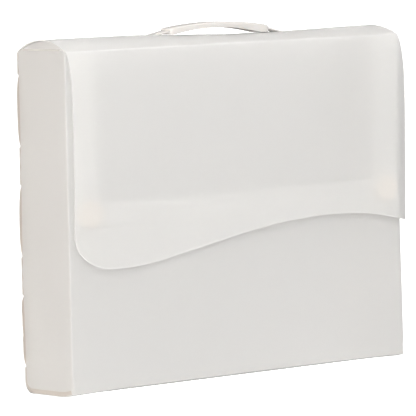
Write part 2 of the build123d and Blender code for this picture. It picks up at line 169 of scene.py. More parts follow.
# The sheet's sizes in millimetres, with the solid's own where the photograph asks for another
SHEET = 0.8
CREASE_SHEET = 0.4
OUTER_PRESS = 0.2  # how much of a crease's groove is on the outer face
BODY_WIDTH = 335.0
BODY_DEPTH = 55.0
FOLD_HEIGHT = 252.0
FRONT_CREASE_HEIGHT = 2.4
FRONT_CREASE_RADIUS = 0.5  # solid 1.5
FRONT_SLOPE = 17.6
BACK_BEND_RADIUS = 8.5  # solid 10
CORNER_RADIUS = 1.4  # solid 2.5
PANEL_TOP_GAP = 3.0
STRIP_WIDTH = 29.0
SILL_HEIGHT = 140.4
CUTOUT_CORNER = 9.0
GUSSET_TOP_CUT = 0.4
DUST_HALF_WIDTH = 22.0  # solid 20
DUST_ROOT_INSET = 1.0
DUST_FOLD_RISE = 1.6
DUST_CREASE_RADIUS = 1.2
DUST_RAMP = 1.2  # solid 6
DUST_WIDE_HALF = 25.8  # solid 24.5
DUST_LENGTH = 40.0
DUST_TIP_BACK = 2.0
DUST_TIP_FRONT = -16.0
DUST_CORNER = 8.0
DUST_CLEARANCE = 0.3
LUG_LENGTH = 50.0
LUG_RISES = (7.0, 3.2, 3.6)  # from the lowest lug to the highest; solid 2.5
LUG_NOTCH = 0.7  # solid 1.5
LUG_PITCH = 81.0
LUG_MIDDLE = 127.0
LUG_RELIEF = 1.5
LUG_CLEARANCE = 0.3
LID_RISE = 7.3
LID_CREST_SHIFT = 1.0
LID_INSET = 1.0
LID_CREASE_RADIUS = 2.0
FLAP_CREASE_RADIUS = 1.0  # solid 2
FLAP_CREASE_INSET = 0.2
FLAP_BEND_RADIUS = 23.0
FLAP_BEND_LAST_RADIUS = 215.7
FLAP_BEND_TURNS = (10.0, 9.0, 6.0, 4.0, 3.0)
FLAP_RETURN_RADIUS = 3000.0
FLAP_LOBE_DROP = 160.2  # solid 161.4
FLAP_LOBE_WIDTH = 40.0  # of the lobe's corner; solid 37, and round
FLAP_LOBE_HEIGHT = 25.9
FLAP_LOBE_RADIUS = 269.5  # solid 190
FLAP_CREST_RISE = 25.8  # solid 26.8
FLAP_CREST_RADIUS = 540.0  # solid 549
FLAP_CREST_X = 91.2  # solid 85
FLAP_END_FALL = 10.4  # solid 9.1

# The coins, in millimetres
COIN_DIAMETER = 20.0
COIN_SIDE_INSET = 19.0
COIN_HEIGHT = 133.0
COIN_GAP = 0.3
COIN_BASE = 0.8  # thickness of the woven disc
COIN_BOND = 0.4  # how deep the weld sinks it into the sheet
COIN_EASE = 0.15  # how far its edge is drawn in, over the last COIN_EASE_HEIGHT
COIN_EASE_HEIGHT = 0.2
LOOP_THICKNESS = 2.0
PILE_STEP = 1.5
PILE_ROW_SHARE = 0.86  # of the step, between one row and the next
PILE_ROWS = 6  # on each side of the middle one
PILE_MARGIN = 1.0
PILE_WIRE = 0.09
PILE_SIDES = 4
PILE_ROOT = 0.1
PILE_SEED = 11
CURL_STEPS = 6
HOOK_CURL = 0.3  # radius of a hook's end, as a share of the pile's depth
HOOK_SWEEP = 200
HOOK_SWAY = 0.3
LOOP_CURL = 0.42
LOOP_SWEEP = 180

# The handle, in millimetres: its forms, and how it sits in its slots
GRIP_LENGTH = 101.0
GRIP_WIDTH = 15.0
GRIP_TOP_RISE = 8.0
GRIP_TOP_RADIUS = 330.0
GRIP_LOW_RISE = 3.85  # solid 4.6
GRIP_LOW_SHIFT = 4.0  # of the hollow below the strap, to the left
GRIP_LOW_RADIUS = 205.0
GRIP_TAPER = 1.5
GRIP_ROUND = 1.5
GRIP_LOW_ROUND = 0.35
GRIP_STEP = 2.5
END_ROUND = 3.5
END_DROP = 0.25  # of the top, for each millimetre that the end is narrower
END_STEPS = [0, 0.15, 0.5, 1.1, 1.9, 3.0]
HANDLE_SHIFT = 2.5
HANDLE_LEAN = 0.6
FOOT_GAP = 0.3
NECK_WIDTH = 10.0
NECK_THICKNESS = 1.6
NECK_LENGTH = 20.0
NECK_DROP = 1.6
NECK_ROOT = 1.5  # inside the grip's end
NECK_TIP = 1.1  # thickness of the neck's end, which laps over the end plate
NECK_LAP = 3.0
NECK_SEAT = 0.1
NECK_EASE = 0.35  # how much of the neck's fall is an S, and not a straight slope
NECK_ROUND = 0.5
NECK_STEP = 0.05  # of its length, between its cross-sections
PLATE_LENGTH = 12.0
PLATE_WIDTH = 18.0
PLATE_THICKNESS = 2.0
PLATE_CORNER = 3.0
PLATE_DEPTH = 2.2
PLATE_EASE = [(0.4, 0), (0.1, 0.15), (0, 0.4)]  # how far the edge draws in, and how high up
SLOT_LENGTH = 9.0  # solid 19.5
SLOT_REACH = 7.5  # of the slot's start, before the neck's end
SLOT_CORNER = 2.0
SLOT_CLEARANCE = 0.5

HALF_WIDTH = BODY_WIDTH / 2
HALF_DEPTH = BODY_DEPTH / 2
CREST_Z = FOLD_HEIGHT + LID_RISE
LID_HALF = HALF_WIDTH - LID_INSET
PANEL_TOP = FOLD_HEIGHT - PANEL_TOP_GAP
DUST_FOLD = FOLD_HEIGHT + DUST_FOLD_RISE
DUST_ROOT_HALF = DUST_HALF_WIDTH - DUST_ROOT_INSET
LOOP_FACE = -HALF_DEPTH - LOOP_THICKNESS
LUG_HEIGHTS = (LUG_MIDDLE - LUG_PITCH, LUG_MIDDLE, LUG_MIDDLE + LUG_PITCH)


# Folded sections: tangent runs of (length, 0) or (outer radius, turn in degrees)


def heading_vector(angle):
    return Vector((cos(radians(angle)), sin(radians(angle))))


def run_length(run):
    size, turn = run
    return size if turn == 0 else size * abs(radians(turn))


def total_length(runs):
    return sum(run_length(run) for run in runs)


def point_on(start, heading, runs, travel):
    """The point and the heading at a distance along the outer face of a folded sheet."""
    point = Vector(start)
    for index, (size, turn) in enumerate(runs):
        last = index == len(runs) - 1
        step = travel if last else min(travel, run_length((size, turn)))
        if turn == 0:
            point = point + heading_vector(heading) * step
        else:
            side = 1 if turn > 0 else -1
            angle = side * degrees(step / size)
            centre = point + heading_vector(heading + side * 90) * size
            heading += angle
            point = centre - heading_vector(heading + side * 90) * size
        travel -= step
        if travel <= 0:
            break
    return point, heading


def end_of(fold):
    """The point and the heading at the end of a fold: its start, heading and runs."""
    return point_on(*fold, total_length(fold[2]))


def section_point(start, heading, runs, travel, depth):
    """A point on the folded sheet, moved `depth` into it, to the left of its heading."""
    point, angle = point_on(start, heading, runs, travel)
    return point + heading_vector(angle + 90) * depth


def run_lines(runs, fine, coarse):
    """Where a folded sheet gets rows of points: every `fine` degrees, or `coarse` on flats."""
    lines = [0.0]
    for size, turn in runs:
        length = run_length((size, turn))
        if turn == 0 or size > NEARLY_FLAT:
            count = max(1, round(length / coarse))
        else:
            count = max(2, round(abs(turn) / fine))
        lines += [lines[-1] + length * (k + 1) / count for k in range(count)]
    return lines


def travel_at(start, heading, runs, axis, value):
    """How far along the section one coordinate falls to a value, by halving."""
    low, high = 0.0, total_length(runs)
    for _ in range(HALVINGS):
        middle = (low + high) / 2
        if point_on(start, heading, runs, middle)[0][axis] > value:
            low = middle
        else:
            high = middle
    return (low + high) / 2


def arc_radius(half_chord, rise):
    return (half_chord**2 + rise**2) / (2 * rise)


def eased(share):
    """A share from 0 to 1 that starts and stops gently."""
    return share * share * (3 - 2 * share)


def swell(z, height):
    """Rises from nothing to one at half the height, and back to nothing, gently."""
    return sin(pi * z / height) ** 2 if z < height else 0


# The case's section, down the front, along the bottom and up the back, in Y and Z
FRONT_TURN = 90 - FRONT_SLOPE
FRONT_SETBACK = FRONT_CREASE_RADIUS * tan(radians(FRONT_TURN / 2))
FRONT_LENGTH = PANEL_TOP - FRONT_CREASE_HEIGHT - FRONT_SETBACK
CASE_START = (-HALF_DEPTH, PANEL_TOP)
FRONT_RUNS = [(FRONT_LENGTH, 0), (FRONT_CREASE_RADIUS, FRONT_TURN)]
FRONT_TRAVEL = total_length(FRONT_RUNS)
BOTTOM_START = point_on(CASE_START, -90, FRONT_RUNS, FRONT_TRAVEL)[0]
SLOPE_RADIUS = BOTTOM_START.y / (1 - cos(radians(FRONT_SLOPE)))
FLAT_START = BOTTOM_START.x + SLOPE_RADIUS * sin(radians(FRONT_SLOPE))
FLAT_LENGTH = HALF_DEPTH - BACK_BEND_RADIUS - FLAT_START
BACK_ARC_RADIUS = arc_radius(HALF_DEPTH - LID_CREST_SHIFT, LID_RISE)
FRONT_ARC_RADIUS = arc_radius(HALF_DEPTH + LID_CREST_SHIFT, LID_RISE)
CREASE_OFFSET = HALF_DEPTH - LID_CREASE_RADIUS - LID_CREST_SHIFT
BACK_ARC_TURN = degrees(asin(CREASE_OFFSET / (BACK_ARC_RADIUS - LID_CREASE_RADIUS)))
CREASE_RISE = sqrt((BACK_ARC_RADIUS - LID_CREASE_RADIUS) ** 2 - CREASE_OFFSET**2)
BACK_TOP = CREST_Z - BACK_ARC_RADIUS + CREASE_RISE
BACK_LENGTH = BACK_TOP - BACK_BEND_RADIUS
CASE_RUNS = FRONT_RUNS + [
    (SLOPE_RADIUS, FRONT_SLOPE),
    (FLAT_LENGTH, 0),
    (BACK_BEND_RADIUS, 90),
    (BACK_LENGTH, 0),
]
CASE_TRAVEL = total_length(CASE_RUNS)
BACK_TRAVEL = CASE_TRAVEL - BACK_LENGTH

# The folds, each given by its start, its heading and its runs, in Y and Z
CASE = (CASE_START, -90, CASE_RUNS)
LID_CREASE = ((HALF_DEPTH, BACK_TOP), 90, [(LID_CREASE_RADIUS, 90 - BACK_ARC_TURN)])
FRONT_ARC_TURN = degrees(asin((HALF_DEPTH + LID_CREST_SHIFT - FLAP_CREASE_INSET) / FRONT_ARC_RADIUS))
LID_RUNS = [(BACK_ARC_RADIUS, BACK_ARC_TURN), (FRONT_ARC_RADIUS, FRONT_ARC_TURN)]
LID_TRAVEL = total_length(LID_RUNS)
LID = (*end_of(LID_CREASE), LID_RUNS)
LID_START_Z = LID[0].y
FLAP_CREASE_TURN = 90 - FRONT_ARC_TURN - sum(FLAP_BEND_TURNS)
FLAP_CREASE = (*end_of(LID), [(FLAP_CREASE_RADIUS, FLAP_CREASE_TURN)])
FLAP_BEND_GROWTH = (FLAP_BEND_LAST_RADIUS / FLAP_BEND_RADIUS) ** (1 / (len(FLAP_BEND_TURNS) - 1))
FLAP_RUNS = [
    (FLAP_BEND_RADIUS * FLAP_BEND_GROWTH**index, turn)
    for index, turn in enumerate(FLAP_BEND_TURNS)
]
FLAP_RUNS.append((FLAP_RETURN_RADIUS, degrees(FLAP_LOBE_DROP / FLAP_RETURN_RADIUS)))
FLAP = (*end_of(FLAP_CREASE), FLAP_RUNS)


# Outlines in the flat


def arc_points(centre, radius, start, end, steps):
    """Points on an arc, both ends included, angles in degrees."""
    angles = [start + (end - start) * k / steps for k in range(steps + 1)]
    return [tuple(Vector(centre) + heading_vector(angle) * radius) for angle in angles]


def rounded_box(x0, x1, y0, y1, radius):
    """A rectangle with round corners, as a closed loop."""
    loop = []
    for x, y, start in (
        (x1 - radius, y0 + radius, -90), (x1 - radius, y1 - radius, 0),
        (x0 + radius, y1 - radius, 90), (x0 + radius, y0 + radius, 180),
    ):
        loop += arc_points((x, y), radius, start, start + 90, steps=5)
    return loop


def filled(loop, step):
    """A closed loop with its long sides divided."""
    points = []
    for (x0, y0), (x1, y1) in zip(loop, loop[1:] + loop[:1]):
        gap = hypot(x1 - x0, y1 - y0)
        if gap > WELD:
            count = max(1, round(gap / step))
            shares = [k / count for k in range(count)]
            points += [(x0 + (x1 - x0) * share, y0 + (y1 - y0) * share) for share in shares]
    return points


def spread(low, high, step):
    count = max(1, round((high - low) / step))
    return [low + (high - low) * k / count for k in range(count + 1)]


def inside(point, loops):
    """True inside an odd number of the loops."""
    x, y = point
    odd = False
    for loop in loops:
        x1, y1 = loop[-1]
        for x0, y0 in loop:
            if (y0 > y) != (y1 > y) and x < (x1 - x0) * (y - y0) / (y1 - y0) + x0:
                odd = not odd
            x1, y1 = x0, y0
    return odd


def inset(loop, width):
    """The loop moved `width` inwards, with mitred corners that reach twice as far at most."""
    area = sum(a[0] * b[1] - b[0] * a[1] for a, b in zip(loop, loop[1:] + loop[:1]))
    side = 1 if area > 0 else -1
    moved = []
    for before, here, after in zip(loop[-1:] + loop[:-1], loop, loop[1:] + loop[:1]):
        one = (Vector(here) - Vector(before)).normalized()
        other = (Vector(after) - Vector(here)).normalized()
        normal = (Vector((-one.y - other.y, one.x + other.x)) * side).normalized()
        miter = normal / max(0.5, normal.dot(Vector((-one.y, one.x)) * side))
        moved.append((here[0] + miter.x * width, here[1] + miter.y * width))
    return moved


# Pieces of sheet


def new_object(name, vertices, faces, materials, marks=None):
    mesh = bpy.data.meshes.new(name)
    mesh.from_pydata(vertices, [], faces)
    for material in materials:
        mesh.materials.append(material)
    if marks:
        mesh.polygons.foreach_set("material_index", marks)
    mesh.validate()
    mesh.update()
    piece = bpy.data.objects.new(name, mesh)
    scene.collection.objects.link(piece)
    return piece


def smoothed(piece, angle=SHARP_ANGLE):
    """The piece, shaded smooth but for its sharp edges."""
    piece.data.shade_smooth()
    piece.data.set_sharp_from_angle(angle=radians(angle))
    return piece


def middle_of(flat, triangle):
    """The middle of a triangle of flat points."""
    return tuple(sum(flat[k][axis] for k in triangle) / 3 for axis in (0, 1))


def cut_sheet(name, loops, u_lines, v_lines, place, materials, is_open, band=None, zone=None, seams=()):
    """A sheet of even thickness, cut to its flat loops and folded by `place`.

    place(u, v, depth) gives a point in millimetres. The edges where is_open(u, v) is true
    have no rim, because the next piece goes on from there. Where band(u, v) is true, a narrow
    band of the faces along the outline has the cut edge's material, a painted highlight. Where zone(u,
    v) is true, the faces have the third material. Seams are lines of points along the edges of zones."""
    points = []
    edges = []
    cores = [inset(loops[0], EDGE_BAND)] + loops[1:] if band else []
    for loop in loops + cores[:1]:
        first = len(points)
        points += loop
        edges += [(first + k, first + (k + 1) % len(loop)) for k in range(len(loop))]
    for seam in seams:
        edges += [(len(points) + k, len(points) + k + 1) for k in range(len(seam) - 1)]
        points += seam
    grid = [(u, v) for u in u_lines for v in v_lines]
    points += [(u, v) for u, v in grid if inside((u + NUDGE, v + NUDGE), loops)]
    found = delaunay_2d_cdt([Vector(p) for p in points], edges, [], 0, WELD)
    flat = [(p.x, p.y) for p in found[0]]
    triangles = [tuple(t) for t in found[2] if inside(middle_of(flat, t), loops)]
    count = len(flat)
    vertices = [tuple(c * MM for c in place(u, v, depth)) for depth in (0.0, SHEET) for u, v in flat]
    faces = triangles + [(a + count, c + count, b + count) for a, b, c in triangles]
    marks = []
    for triangle in triangles:
        middle = middle_of(flat, triangle)
        edged = band is not None and band(*middle) and not inside(middle, cores)
        marks.append(HIGHLIT_EDGE if edged else 0)
        if zone is not None and zone(*middle):
            marks[-1] = IN_ZONE
    marks = marks * 2
    used = [(t[k], t[(k + 1) % 3]) for t in triangles for k in range(3)]
    shared = set(used)
    for a, b in used:
        u = (flat[a][0] + flat[b][0]) / 2
        v = (flat[a][1] + flat[b][1]) / 2
        if (b, a) in shared or is_open(u, v):
            continue
        faces.append((b, a, a + count, b + count))
        marks.append(HIGHLIT_EDGE if band is None or band(u, v) else 0)
    return smoothed(new_object(name, vertices, faces, materials, marks))


def face_outwards(piece, outwards):
    """Turns the faces round if the one nearest the outside points inwards."""
    mesh = piece.data
    outwards = Vector(outwards)
    best = max(mesh.polygons, key=lambda face: face.center.dot(outwards) + face.area)
    if best.normal.dot(outwards) < 0:
        mesh.flip_normals()


# Closed solids made of rings


def ring_faces(first, count, rings):
    """The faces of a closed solid of rings, `count` points in each, numbered from `first`."""
    faces = []
    for k in range(rings - 1):
        for j in range(count):
            a = first + k * count + j
            b = first + k * count + (j + 1) % count
            faces.append((a, b, b + count, a + count))
    last = first + (rings - 1) * count
    faces.append(tuple(first + j for j in reversed(range(count))))
    faces.append(tuple(last + j for j in range(count)))
    return faces


def ringed(name, rings, material, angle=SHARP_ANGLE):
    """A solid through rings of points in millimetres."""
    vertices = [Vector(point) * MM for ring in rings for point in ring]
    faces = ring_faces(0, len(rings[0]), len(rings))
    return smoothed(new_object(name, vertices, faces, [material]), angle)


def prism(name, loop, heights, place, material):
    """A flat solid with eased edges: rings of one outline, each (ease, height)."""
    middle = sum((Vector(p) for p in loop), Vector((0, 0))) / len(loop)
    rings = []
    for ease, height in heights:
        arms = [Vector(point) - middle for point in loop]
        flats = [middle + arm * (1 - ease / arm.length) for arm in arms]
        rings.append([place(flat.x, flat.y, height) for flat in flats])
    return ringed(name, rings, material, PRISM_ANGLE)


# The camera, the lights and the room


def add_camera():
    data = bpy.data.cameras.new("camera")
    data.sensor_fit = "HORIZONTAL"
    data.sensor_width = CAMERA_SENSOR
    data.lens = CAMERA_LENS
    data.clip_end = 100
    camera = bpy.data.objects.new("camera", data)
    scene.collection.objects.link(camera)
    heading, pitch, roll = (radians(a) for a in (CAMERA_HEADING, CAMERA_PITCH, CAMERA_ROLL))
    right = Vector((cos(heading), -sin(heading), 0))
    forward = Vector((sin(heading), cos(heading), 0))
    up = Vector((0, 0, 1))
    view = forward * cos(pitch) - up * sin(pitch)
    rise = up * cos(pitch) + forward * sin(pitch)
    side = right * cos(roll) - rise * sin(roll)
    top = rise * cos(roll) + right * sin(roll)
    turn = Matrix((side, top, -view)).transposed()
    camera.matrix_world = Matrix.Translation(CAMERA_PLACE) @ turn.to_4x4()
    scene.camera = camera


def add_light(name, kind, energy, direction, colour=(1, 1, 1)):
    data = bpy.data.lights.new(name, kind)
    data.energy = energy
    data.color = colour
    light = bpy.data.objects.new(name, data)
    scene.collection.objects.link(light)
    light.rotation_euler = direction.to_track_quat("-Z", "Y").to_euler()
    return light


def add_sun(name, energy, source, width, colour=(1, 1, 1)):
    """A wide, soft light from far away."""
    light = add_light(name, "SUN", energy, -Vector(source), colour)
    light.data.angle = radians(width)


def add_softbox():
    """A near light above the front, so that the top is a little brighter than the foot."""
    toward = Vector((0, 0, FOLD_HEIGHT * MM)) - Vector(SOFTBOX_PLACE)
    light = add_light("softbox", "AREA", SOFTBOX, toward)
    light.data.size = SOFTBOX_SIZE
    light.location = SOFTBOX_PLACE


def add_bounce():
    """Light that the bright table throws up under the front edge, where the bottom bows."""
    light = add_light("bounce", "AREA", BOUNCE, Vector((0, 0, 1)), BELOW_COLOUR)
    light.data.shape = "RECTANGLE"
    light.data.size = BODY_WIDTH * MM
    light.data.size_y = BOUNCE_DEPTH
    light.location = BOUNCE_PLACE
    light.visible_camera = False


def new_material(name, values):
    """A material with these values on its shader, its node tree, and the shader."""
    material = bpy.data.materials.new(name)
    material.use_nodes = True
    tree = material.node_tree
    shader = tree.nodes["Principled BSDF"]
    for socket, value in values.items():
        shader.inputs[socket].default_value = value
    return material, tree, shader


def add_node(tree, kind, values):
    node = tree.nodes.new("ShaderNode" + kind)
    for socket, value in values.items():
        node.inputs[socket].default_value = value
    return node


def add_colour_mix(tree, first, second):
    """A blend of two colours, with its factor on input 0 and its colour on output 2."""
    mix = tree.nodes.new("ShaderNodeMix")
    mix.data_type = "RGBA"
    mix.inputs[6].default_value = (*first, 1)
    mix.inputs[7].default_value = (*second, 1)
    return mix


def add_floor():
    corners = [(x * FLOOR_HALF, y * FLOOR_HALF, 0) for x, y in ((-1, -1), (1, -1), (1, 1), (-1, 1))]
    material, _, _ = new_material("floor", {
        "Base Color": (FLOOR, FLOOR, FLOOR, 1), "Roughness": 0.9, "Specular IOR Level": 0,
        "Emission Color": (1, 1, 1, 1), "Emission Strength": FLOOR_GLOW,
    })
    floor = new_object("floor", corners, [(0, 1, 2, 3)], [material])
    floor.visible_diffuse = floor.visible_glossy = floor.visible_transmission = False
    floor.visible_shadow = False


def add_world():
    """Plain light from all round, with its own brightness and tint below the horizon."""
    world = bpy.data.worlds.new("studio")
    scene.world = world
    world.use_nodes = True
    tree = world.node_tree
    back = tree.nodes["Background"]
    place = tree.nodes.new("ShaderNodeTexCoord")
    split = tree.nodes.new("ShaderNodeSeparateXYZ")
    seen = tree.nodes.new("ShaderNodeLightPath")
    band = {"From Min": -HORIZON, "From Max": HORIZON}
    level = add_node(tree, "MapRange", {**band, "To Min": WORLD_BELOW, "To Max": WORLD})
    above = add_node(tree, "MapRange", band)
    pick = add_node(tree, "Mix", {3: BACKDROP})
    tint = add_colour_mix(tree, BELOW_COLOUR, (1, 1, 1))
    link = tree.links.new
    link(place.outputs["Generated"], split.inputs[0])
    link(split.outputs["Z"], level.inputs["Value"])
    link(level.outputs["Result"], pick.inputs[2])
    link(seen.outputs["Is Camera Ray"], pick.inputs[0])
    link(pick.outputs[0], back.inputs["Strength"])
    link(split.outputs["Z"], above.inputs["Value"])
    link(above.outputs["Result"], tint.inputs[0])
    link(tint.outputs[2], back.inputs["Color"])


# Materials


def plastic(
    name, colour, transmission, roughness=PLASTIC_ROUGH, ior=SHEET_IOR,
    bumps=SHEET_BUMP, grain=SHEET_GRAIN, tint=PLASTIC_TINT, more={},
):
    """Translucent plastic: cloudy colour, a fine grain, and roughness worn uneven."""
    clear = {"Transmission Weight": transmission, "IOR": ior}
    material, tree, shader = new_material(name, {**clear, **more})
    place = tree.nodes.new("ShaderNodeTexCoord")
    cloud = add_node(tree, "TexNoise", {"Scale": CLOUD_SCALE, "Detail": 3})
    dark = [c * (1 - tint) for c in colour]
    light = [min(1.0, c * (1 + tint)) for c in colour]
    tone = add_colour_mix(tree, dark, light)
    worn = {"To Min": roughness - ROUGH_SPREAD, "To Max": roughness + ROUGH_SPREAD}
    rough = add_node(tree, "MapRange", worn)
    grains = add_node(tree, "TexNoise", {"Scale": 1 / (grain * MM), "Detail": 2})
    bump = add_node(tree, "Bump", {"Strength": bumps, "Distance": BUMP_DEPTH * MM})
    link = tree.links.new
    link(place.outputs["Object"], cloud.inputs["Vector"])
    link(place.outputs["Object"], grains.inputs["Vector"])
    link(cloud.outputs["Fac"], tone.inputs[0])
    link(tone.outputs[2], shader.inputs["Base Color"])
    link(cloud.outputs["Fac"], rough.inputs["Value"])
    link(rough.outputs["Result"], shader.inputs["Roughness"])
    link(grains.outputs["Fac"], bump.inputs["Height"])
    link(bump.outputs["Normal"], shader.inputs["Normal"])
    return material


def pile(name, colour, grain):
    """The pile of a hook or loop coin: matt, uneven and slightly furry, with painted shade between its
    tufts.
    """
    furry = {"Roughness": 0.95, "Specular IOR Level": 0.1, "Sheen Weight": 0.3}
    material, tree, shader = new_material(name, furry)
    place = tree.nodes.new("ShaderNodeTexCoord")
    cells = add_node(tree, "TexVoronoi", {"Scale": 1 / (grain * MM)})
    # The cells darken towards their edges: painted shade between the tufts
    tone = add_colour_mix(tree, colour, [c * PILE_SHADE for c in colour])
    bump = add_node(tree, "Bump", {"Strength": 0.5, "Distance": PILE_DEPTH * MM})
    link = tree.links.new
    link(place.outputs["Object"], cells.inputs["Vector"])
    link(cells.outputs["Distance"], tone.inputs[0])
    link(tone.outputs[2], shader.inputs["Base Color"])
    link(cells.outputs["Distance"], bump.inputs["Height"])
    link(bump.outputs["Normal"], shader.inputs["Normal"])
    return material


add_camera()
add_world()
add_floor()
add_sun("key", KEY, KEY_FROM, KEY_SPREAD)
add_softbox()
add_bounce()
add_sun("fill", FILL, FILL_FROM, FILL_SPREAD, FILL_COLOUR)
scene.view_settings.view_transform = "Standard"

frosted = plastic("frosted_sheet", SHEET_COLOUR, SHEET_TRANS, SHEET_ROUGH, tint=SHEET_TINT)
# Painted highlight along the cut edges
painted_edge_highlight = plastic("painted_edge_highlight", EDGE_HIGHLIGHT_COLOUR, EDGE_HIGHLIGHT_TRANS, bumps=FINE_BUMP, grain=EDGE_GRAIN)
# Painted shade on the lugs and along the gussets' foot
folded = plastic("painted_shade_sheet", PAINTED_SHADE_COLOUR, PAINTED_SHADE_TRANS)
# Painted shade on the dust flaps' creases
crease_shade = plastic("painted_crease_shade", CREASE_SHADE_COLOUR, CREASE_SHADE_TRANS)
moulding = plastic(
    "handle_plastic", HANDLE_COLOUR, HANDLE_TRANS, HANDLE_ROUGH, HANDLE_IOR, FINE_BUMP, HANDLE_GRAIN,
    more={
        "Subsurface Weight": HANDLE_GLOW, "Subsurface Radius": HANDLE_GLOW_TONES,
        "Subsurface Scale": HANDLE_GLOW_DEPTH * MM,
    },
)
loops_pile = pile("loop_pile", LOOP_COLOUR, LOOP_GRAIN)
hooks_pile = pile("hook_pile", HOOK_COLOUR, HOOK_GRAIN)


# The case: front, bottom, back and both side gussets, all one sheet

GUSSET_BEND = CORNER_RADIUS * pi / 2
GUSSET_FLAT = BODY_DEPTH - CORNER_RADIUS - SHEET - CURL_START
GUSSET_RUNS = [(CORNER_RADIUS, 90), (GUSSET_FLAT, 0), (CURL_RADIUS, CURL_TURN)]
GUSSET_START = HALF_WIDTH - CORNER_RADIUS
GUSSET_FRONT = CORNER_RADIUS - HALF_DEPTH
GUSSET_BACK = HALF_DEPTH - SHEET
GUSSET_TOP = DUST_FOLD - DUST_CREASE_RADIUS


def gusset_u(y):
    """The flat coordinate of a point of the right gusset, from its depth in the case."""
    return GUSSET_START + GUSSET_BEND + y + HALF_DEPTH - CORNER_RADIUS


def gusset_edge():
    """The right gusset's outline from the top of the front corner, round its back."""
    shoulder = GUSSET_TOP - GUSSET_TOP_CUT
    edge = [(GUSSET_FRONT, CORNER_TOP), (-DUST_HALF_WIDTH, GUSSET_TOP)]
    edge += [(-DUST_ROOT_HALF, GUSSET_TOP), (DUST_ROOT_HALF, GUSSET_TOP)]
    edge += [(DUST_HALF_WIDTH, GUSSET_TOP), (GUSSET_BACK, shoulder)]
    half = LUG_LENGTH / 2
    cut = half + LUG_RELIEF
    notch = GUSSET_BACK - LUG_NOTCH
    for z, out in reversed(list(zip(LUG_HEIGHTS, LUG_RISES))):
        rise = SHEET + out
        radius = arc_radius(half, rise)
        reach = degrees(asin(half / radius))
        edge += [(GUSSET_BACK, z + cut), (notch, z + cut), (notch, z + half)]
        edge += arc_points((GUSSET_BACK + rise - radius, z), radius, reach, -reach, steps=16)
        edge += [(notch, z - half), (notch, z - cut), (GUSSET_BACK, z - cut)]
    bend_centre = (HALF_DEPTH - BACK_BEND_RADIUS, BACK_BEND_RADIUS)
    edge += arc_points(bend_centre, BACK_BEND_RADIUS - SHEET - BOTTOM_SEAT, 0, -90, steps=10)
    slope = SLOPE_RADIUS - SHEET - BOTTOM_SEAT
    reach = degrees(asin((FLAT_START - GUSSET_FRONT) / slope))
    edge += arc_points((FLAT_START, SLOPE_RADIUS), slope, -90, -90 - reach, steps=8)
    edge.append((GUSSET_FRONT, CORNER_BOTTOM))
    return [(gusset_u(y), PANEL_TOP - z) for y, z in edge]


def gusset_foot(y):
    """How high the gusset's lower edge is at a depth in the case."""
    if y > HALF_DEPTH - BACK_BEND_RADIUS:
        centre = BACK_BEND_RADIUS
        away = y - HALF_DEPTH + BACK_BEND_RADIUS
    else:
        centre = SLOPE_RADIUS
        away = min(0, y - FLAT_START)
    radius = centre - SHEET - BOTTOM_SEAT
    return centre - sqrt(max(0.0, radius**2 - away**2))


def foot_seam():
    """The upper edge of the gusset's foot of painted shade, where the sheet rounds under."""
    depths = spread(FOOT_FRONT, FOOT_BACK, FOOT_STEP)
    return [(gusset_u(y), PANEL_TOP - gusset_foot(y) - FOOT_BAND) for y in depths]


def in_painted_shade(u, v):
    """True on the lugs and along the gusset's foot, where the sheet gets painted shade."""
    y = abs(u) - gusset_u(0)
    if y < FOOT_FRONT - 0.1:
        return False
    return y > GUSSET_BACK - LUG_RELIEF or PANEL_TOP - v < gusset_foot(y) + FOOT_BAND


def back_edge():
    """The bottom's and the back's right side, with the notches for the lugs."""
    edge = [(GUSSET_START, FRONT_TRAVEL), (HALF_WIDTH, FRONT_TRAVEL), (HALF_WIDTH, BACK_TRAVEL)]
    depth = HALF_WIDTH - SHEET - 2 * LUG_CLEARANCE
    half = LUG_LENGTH / 2 + LUG_RELIEF
    for z in LUG_HEIGHTS:
        middle = BACK_TRAVEL + z - BACK_BEND_RADIUS
        edge += [(HALF_WIDTH, middle - half), (depth, middle - half)]
        edge += [(depth, middle + half), (HALF_WIDTH, middle + half)]
    edge += [(HALF_WIDTH, CASE_TRAVEL), (LID_HALF, CASE_TRAVEL)]
    return edge


def case_loop():
    """The flat outline of the case's sheet: front on top, gussets beside it."""
    sill = PANEL_TOP - SILL_HEIGHT
    strip = HALF_WIDTH - STRIP_WIDTH
    cut = arc_points((strip - CUTOUT_CORNER, sill - CUTOUT_CORNER), CUTOUT_CORNER, 90, 0, steps=8)
    right = cut + [(strip, -STRIP_RISE), (GUSSET_START, -STRIP_RISE)]
    right += gusset_edge() + [(GUSSET_START, PANEL_TOP - CORNER_BOTTOM)] + back_edge()
    left = [(-u, v) for u, v in reversed(right)]
    return filled(right + left, CASE_EDGE_STEP)


def sprung(x, y, z):
    """A point of the case, moved as the real sheet springs out of its folds."""
    arch = 1 - min(1, abs(x) / GUSSET_START) ** 4
    arch *= min(1, max(0, (FLAT_START - y) / FOOT_ARCH_DEPTH))
    arch *= max(0, 1 - z / FOOT_ARCH_HEIGHT)
    bow = swell(z, BACK_BOW_HEIGHT) * (y + HALF_DEPTH) / BODY_DEPTH
    pinch = swell(z, FOLD_HEIGHT) * (max(0, x) / HALF_WIDTH) ** 3
    return x - RIGHT_PINCH * pinch, y + BACK_BOW * bow, z + FOOT_ARCH * arch


